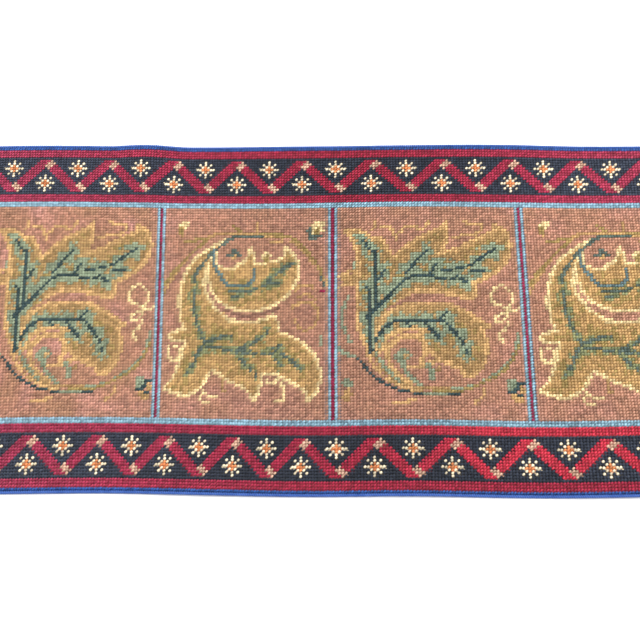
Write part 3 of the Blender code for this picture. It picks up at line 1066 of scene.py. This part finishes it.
def sheet_quads():
    """The corners of each quad of the canvas, back first, then face and rim, and the rim's own points."""
    across = CANVAS_CELLS + 1
    each = across * (ROWS + 1)
    first = (np.arange(ROWS)[:, None] * across + np.arange(CANVAS_CELLS)).ravel()
    back = np.stack([first, first + 1, first + across + 1, first + across], axis=1)
    rim = np.concatenate(
        [
            np.arange(across),
            np.arange(1, ROWS + 1) * across + CANVAS_CELLS,
            ROWS * across + np.arange(CANVAS_CELLS - 1, -1, -1),
            np.arange(ROWS - 1, 0, -1) * across,
        ]
    )
    following = np.roll(rim, -1)
    side = np.stack([following, rim, rim + each, following + each], axis=1)
    return np.concatenate([back, back[:, ::-1] + each, side]), rim


def canvas_sheet(colours):
    """The canvas under the stitches with their backs on its underside: one thin closed sheet."""
    column, row = np.meshgrid(
        np.linspace(-HEM, COLUMNS + HEM, CANVAS_CELLS + 1), np.linspace(-HEM, ROWS + HEM, ROWS + 1)
    )
    column, row = column.ravel(), row.ravel()
    points = np.concatenate([lie(column, row, height)[0] for height in (0.0, CANVAS_THICK)])
    quads, rim = sheet_quads()
    mesh = bpy.data.meshes.new("canvas_sheet")
    mesh.from_pydata(points.tolist(), [], quads.tolist())
    mesh.update()
    spread(mesh, "Canvas", np.tile(np.stack([column, row], axis=-1), (2, 1)))
    u = (column + HEM) / (COLUMNS + 2 * HEM)
    v = (row + HEM) / (ROWS + 2 * HEM) / 2 * MAP_SHARE
    spread(mesh, "OFBake", np.concatenate([np.stack([u, v + half], axis=-1) for half in (0.0, 0.5)]))
    # Each quad spans two columns, and its corners take the wool of one each. Where a light wool has a dark
    # one beside it, it is dimmed as painted shade between the stitches, and the back is dimmed the same.
    pair = []
    for share in (0.25, 0.75):
        under = ((np.arange(CANVAS_CELLS) + share) * COLUMNS / CANVAS_CELLS).astype(int)
        pair.append(colours[:, under].reshape(-1, 3))
    light = [wool.sum(axis=-1, keepdims=True) for wool in pair]
    left, right = (wool * np.minimum(1, LIGHTER * np.minimum(*light) / own) for wool, own in zip(pair, light))
    cell = np.stack([left, right, right, left], axis=1).reshape(-1, 3)
    edge_row = np.clip(row[rim].astype(int), 0, ROWS - 1)
    edge_column = np.clip(column[rim].astype(int), 0, COLUMNS - 1)
    edge = np.repeat(colours[edge_row, edge_column], 4, axis=0)
    # The face, seen only deep between the stitches, is painted in shade: darker and a deeper colour than its
    # wool
    every = np.concatenate([cell, cell**DEEPER * IN_THE_SHADE, edge])
    tint = mesh.attributes.new("wool", "FLOAT_COLOR", "CORNER")
    tint.data.foreach_set("color", np.concatenate([every, np.ones((len(every), 1))], axis=1).ravel())
    mesh.shade_smooth()
    mesh.materials.append(worked_canvas())
    return dress(linked("canvas_sheet", mesh), "stitched_canvas")


# The whipped edge


def edge_line(side):
    """The middle of the roll along one side: against the cloth, at the height of its own radius."""
    long_side = side in ("far", "near")
    if long_side:
        columns = np.linspace(0, COLUMNS, COLUMNS + 1)
        rows = np.full(COLUMNS + 1, 0.0 if side == "far" else ROWS)
    else:
        columns = np.full(ROWS + 1, 0.0 if side == "left" else COLUMNS)
        rows = np.linspace(ROWS, 0, ROWS + 1)
    points, _ = lie(columns, rows)
    points[:, 1 if long_side else 0] += ROLL_RADIUS if side in ("far", "right") else -ROLL_RADIUS
    points[:, 2] += ROLL_RADIUS
    if long_side:
        # The two long rolls run on past the ends, so that they close the corners
        run_on = 2 * ROLL_RADIUS - WHIP_YARN / 2
        points[0, 0] -= run_on
        points[-1, 0] += run_on
    return points


def line_object(name, points, radius=0.0):
    curve = bpy.data.curves.new(name, "CURVE")
    curve.dimensions = "3D"
    curve.bevel_depth = radius
    curve.bevel_resolution = 1
    curve.use_fill_caps = radius > 0
    spline = curve.splines.new("POLY")
    spline.points.add(len(points) - 1)
    for point, place in zip(spline.points, points):
        point.co = (*place, 1.0)
    return linked(name, curve)


def whipped_edges():
    """Blue wool wound loop by loop round each turned edge, over a plain core of turned canvas."""
    tree = whip_tree()
    material = whipping_wool()
    pieces = []
    for seed, side in enumerate(("far", "near", "left", "right"), start=21):
        points = edge_line(side)
        loops = made_by(
            tree, line_object("line", points), "whipping_" + side,
            {
                "Spacing": WHIP_SPACING, "Roll radius": ROLL_RADIUS, "Yarn": WHIP_YARN, "Lean": WHIP_LEAN,
                "Uneven": WHIP_UNEVEN, "Seed": seed, "Wool": material,
            },
        )
        core = made_plain(line_object("core", points[::CORE_STEP], CORE_RADIUS), "edge_core_" + side)
        core.data.materials.clear()
        core.data.materials.append(material)
        pieces += [dress(piece, "edge_" + side) for piece in (loops, core)]
    return pieces


# Floor, light and camera


def studio():
    """A pale floor, a soft light high over the far edge, a weak one on the right and even light all round."""
    reach = 6.0
    mesh = bpy.data.meshes.new("floor")
    mesh.from_pydata(
        [(-reach, -reach, 0), (reach, -reach, 0), (reach, reach, 0), (-reach, reach, 0)], [], [(0, 1, 2, 3)]
    )
    # Matt white paper, plain and without gloss
    paper, _, shader = plain_material("matt white floor")
    shader.inputs["Base Color"].default_value = (0.9, 0.9, 0.9, 1)
    shader.inputs["Roughness"].default_value = 0.9
    mesh.materials.append(paper)
    linked("floor", mesh)
    for name, place, size, power in (
        ("key", (0.0, 1.3, 2.7), 1.8, 140.0),
        ("fill", (1.2, -0.3, 1.4), 1.2, 10.0),
    ):
        light = bpy.data.lights.new(name, "AREA")
        light.size = size
        light.energy = power
        lamp = linked(name, light)
        lamp.location = place
        lamp.rotation_euler = (-Vector(place)).to_track_quat("-Z", "Y").to_euler()
    world = bpy.data.worlds.new("even light")
    world.use_nodes = True
    world.node_tree.nodes["Background"].inputs["Color"].default_value = (1, 1, 1, 1)
    world.node_tree.nodes["Background"].inputs["Strength"].default_value = 0.72
    bpy.context.scene.world = world
    bpy.context.scene.view_settings.view_transform = "Standard"


def camera():
    """The photograph's view: from above the near edge, looking almost straight down."""
    focal_pixels = 830
    frame_pixels = 640
    eye = bpy.data.cameras.new("camera")
    eye.sensor_width = 36.0
    eye.lens = eye.sensor_width * focal_pixels / frame_pixels
    tilt, yaw, roll = math.radians(14.63), math.radians(0.75), math.radians(-0.1)
    turn = Matrix.Rotation(yaw, 4, "Y") @ Matrix.Rotation(tilt, 4, "X") @ Matrix.Rotation(roll, 4, "Z")
    obj = linked("camera", eye)
    obj.matrix_world = Matrix.Translation((-0.0183, -0.1909, 0.7026)) @ turn
    bpy.context.scene.camera = obj


camera()
studio()
stitch_colours = dyed(whole_chart())
sheet = canvas_sheet(stitch_colours)
on_the_sheet = all_stitches(stitch_colours) + whipped_edges()
